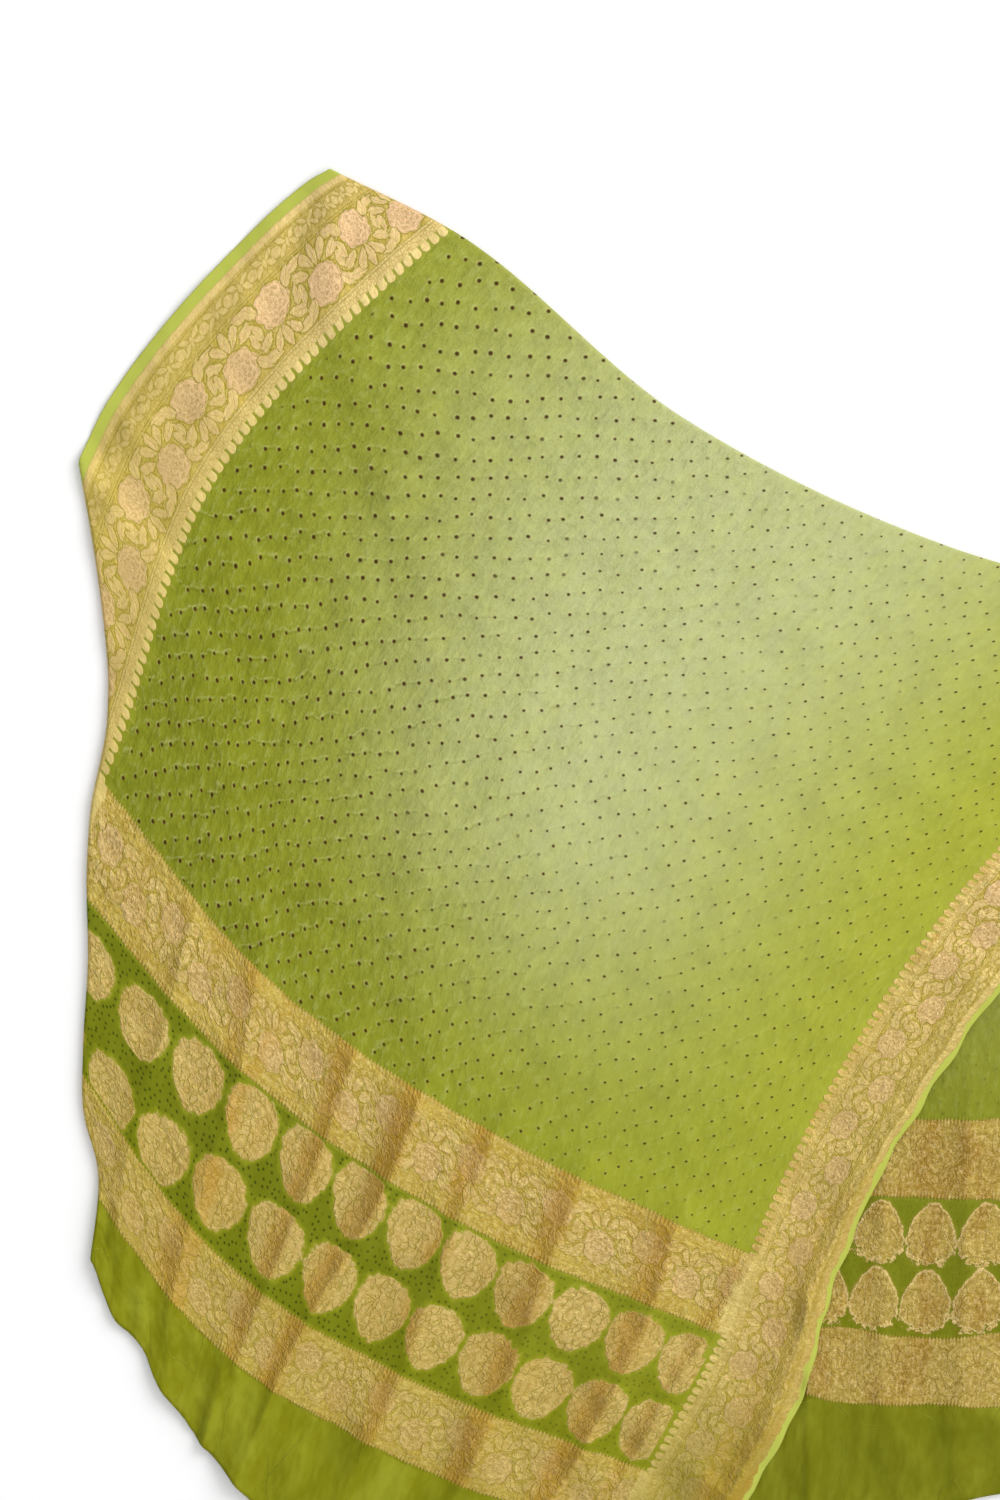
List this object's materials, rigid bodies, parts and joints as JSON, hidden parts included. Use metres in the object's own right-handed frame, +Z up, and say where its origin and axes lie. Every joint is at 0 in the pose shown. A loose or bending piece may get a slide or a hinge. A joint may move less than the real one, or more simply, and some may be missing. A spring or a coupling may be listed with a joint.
{
  "type": "bandhani dupatta cloth",
  "caption": "Tie-dyed georgette dupatta with woven gold borders and flowered ends, laid out folded across its length, with its far end showing underneath.",
  "frame": {"origin": "on the surface that the cloth lies on, under the middle of the laid cloth's outline", "axes": "+Z up from the surface, +Y from the front hem towards the top fold, +X towards the end of the top fold that lies far out to the right"},
  "size_m": [1.0238, 1.2222, 0.0209],
  "materials": {
    "green_gold_georgette": "matte crinkled georgette with woven metallic gold borders"
  },
  "bodies": {
    "root": {"bandhani_cloth": "green_gold_georgette"}
  },
  "joints": []
}
